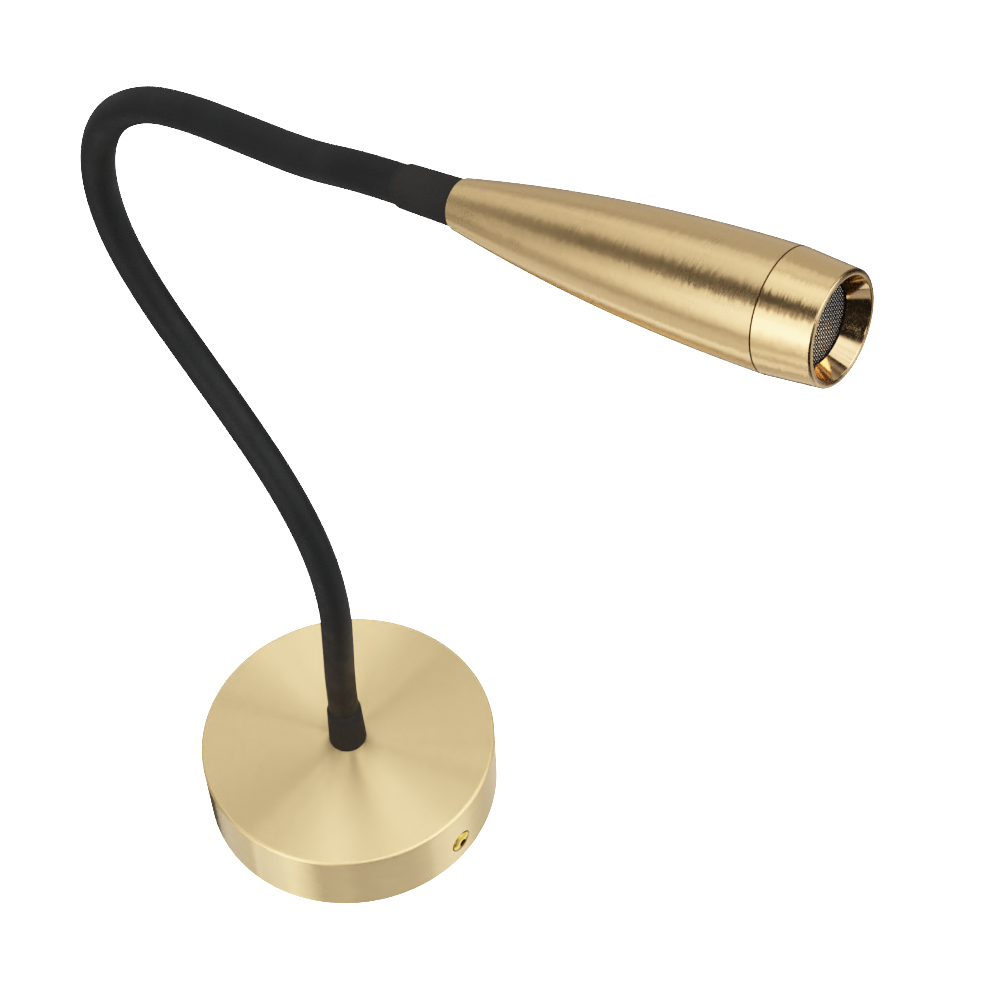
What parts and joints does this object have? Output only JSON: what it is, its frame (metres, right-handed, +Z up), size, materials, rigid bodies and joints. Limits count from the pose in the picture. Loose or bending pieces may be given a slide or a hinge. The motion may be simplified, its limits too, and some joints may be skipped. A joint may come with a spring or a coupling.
{
  "type": "bedside wall reading lamp",
  "caption": "Wall reading lamp: round canopy on a wall bracket, long flexible gooseneck in a black sleeve, and a slim tapered spot head with a recessed guard mesh.",
  "frame": {"origin": "centre of the wall face, on the axis of the canopy, midway between the two wall slots", "axes": "+Z up, +X right for somebody facing the wall, +Y into the wall; the lamp stands out along -Y"},
  "size_m": [0.1, 0.3416, 0.2509],
  "materials": {
    "brushed_brass_plate": "pale brass plate, brushed in circles on the front and around the side, clear lacquer",
    "brushed_brass_tone": "aluminium anodised in a brass tone, brushed around the axis, polished inside the bezel",
    "polished_brass": "polished",
    "zinc_steel": "zinc plated",
    "hose_steel": "interlocked steel hose",
    "black_silicone": "satin black silicone",
    "cable_jacket": "black twin cable jacket",
    "white_polyamide": "moulded polyamide",
    "circuit_board": "solder mask",
    "component_black": "moulded components",
    "foam_tape": "double sided foam tape",
    "lead_brown": "lead insulation",
    "lead_earth": "earth lead insulation",
    "lead_red": "low voltage lead insulation",
    "heat_sink_aluminium": "turned aluminium",
    "led_board_white": "metal core board, white solder mask",
    "led_phosphor": "phosphor on ceramic",
    "black_plastic": "moulded",
    "lens_clear": "clear moulded lens",
    "mesh_black": "blackened steel"
  },
  "bodies": {
    "canopy": {"canopy_cover": "brushed_brass_plate", "wall_bracket": "zinc_steel", "canopy_side_screws": "polished_brass", "earth_screw": "polished_brass", "earth_lug": "zinc_steel", "earth_lead": "lead_earth", "terminal_block": "white_polyamide", "terminal_clamps": "polished_brass", "terminal_screws": "zinc_steel", "terminal_fixing_screw": "zinc_steel", "driver_case": "white_polyamide", "driver_lid": "white_polyamide", "driver_board": "circuit_board", "driver_components": "component_black", "driver_tape": "foam_tape", "mains_leads": "lead_brown", "base_ferrule": "zinc_steel", "base_nut": "zinc_steel", "base_lock_washer": "zinc_steel", "lower_collar": "black_silicone", "neck_core_1": "hose_steel", "neck_sleeve_1": "black_silicone", "led_cable_1": "cable_jacket"},
    "neck_1": {"neck_core_2": "hose_steel", "neck_sleeve_2": "black_silicone", "led_cable_2": "cable_jacket"},
    "neck_2": {"neck_core_3": "hose_steel", "neck_sleeve_3": "black_silicone", "led_cable_3": "cable_jacket"},
    "neck_3": {"neck_core_4": "hose_steel", "neck_sleeve_4": "black_silicone", "led_cable_4": "cable_jacket"},
    "neck_4": {"neck_core_5": "hose_steel", "neck_sleeve_5": "black_silicone", "led_cable_5": "cable_jacket"},
    "neck_5": {"neck_core_6": "hose_steel", "neck_sleeve_6": "black_silicone", "led_cable_6": "cable_jacket"},
    "neck_6": {"neck_core_7": "hose_steel", "neck_sleeve_7": "black_silicone", "led_cable_7": "cable_jacket"},
    "neck_7": {"neck_core_8": "hose_steel", "neck_sleeve_8": "black_silicone", "led_cable_8": "cable_jacket"},
    "head": {"neck_core_9": "hose_steel", "head_ferrule": "zinc_steel", "upper_collar": "black_silicone", "head_shell": "brushed_brass_tone", "heat_sink": "heat_sink_aluminium", "led_board": "led_board_white", "led_chip": "led_phosphor", "board_screws": "zinc_steel", "led_leads": "lead_red", "lens_holder": "black_plastic", "tir_lens": "lens_clear", "mesh_retaining_ring": "mesh_black", "anti_glare_mesh": "mesh_black", "front_bezel": "brushed_brass_tone", "bezel_o_ring": "black_silicone"}
  },
  "joints": [
    {"name": "neck_side_bend_1", "type": "hinge", "parent": "canopy", "child": "neck_1", "pos_m": [-0.00024, -0.06498, -0.00076], "axis": [-0.001, -0.08, 0.9968], "range_deg": [-35, 35], "deforming": ["neck_sleeve_1", "led_cable_1"]},
    {"name": "neck_lift_bend_1", "type": "hinge", "parent": "neck_1", "child": "neck_2", "pos_m": [-0.0001, -0.11219, -0.00118], "axis": [0.9991, 0.0435, -0.0016], "range_deg": [-35, 35], "deforming": ["neck_sleeve_2", "led_cable_2"]},
    {"name": "neck_side_bend_2", "type": "hinge", "parent": "neck_2", "child": "neck_3", "pos_m": [0.00226, -0.15296, 0.02167], "axis": [-0.0353, 0.6953, 0.7178], "range_deg": [-35, 35], "deforming": ["neck_sleeve_3", "led_cable_3"]},
    {"name": "neck_lift_bend_2", "type": "hinge", "parent": "neck_3", "child": "neck_4", "pos_m": [0.00426, -0.18529, 0.05628], "axis": [0.9992, 0.0338, 0.0189], "range_deg": [-35, 30], "deforming": ["neck_sleeve_4", "led_cable_4"]},
    {"name": "neck_side_bend_3", "type": "hinge", "parent": "neck_4", "child": "neck_5", "pos_m": [0.00421, -0.22677, 0.07731], "axis": [-0.0378, 0.0919, 0.995], "range_deg": [-35, 35], "deforming": ["neck_sleeve_5", "led_cable_5"]},
    {"name": "neck_lift_bend_3", "type": "hinge", "parent": "neck_5", "child": "neck_6", "pos_m": [0.00456, -0.26884, 0.05974], "axis": [0.9995, -0.0301, 0.0116], "range_deg": [-35, 15], "deforming": ["neck_sleeve_6", "led_cable_6"]},
    {"name": "neck_side_bend_4", "type": "hinge", "parent": "neck_6", "child": "neck_7", "pos_m": [0.00191, -0.2883, 0.01707], "axis": [-0.0558, -0.971, 0.2327], "range_deg": [-35, 35], "deforming": ["neck_sleeve_7", "led_cable_7"]},
    {"name": "neck_lift_bend_4", "type": "hinge", "parent": "neck_7", "child": "head", "pos_m": [-0.00059, -0.30141, -0.02828], "axis": [0.9957, -0.0733, -0.0571], "range_deg": [-35, 35], "deforming": ["neck_sleeve_8", "led_cable_8"]}
  ]
}
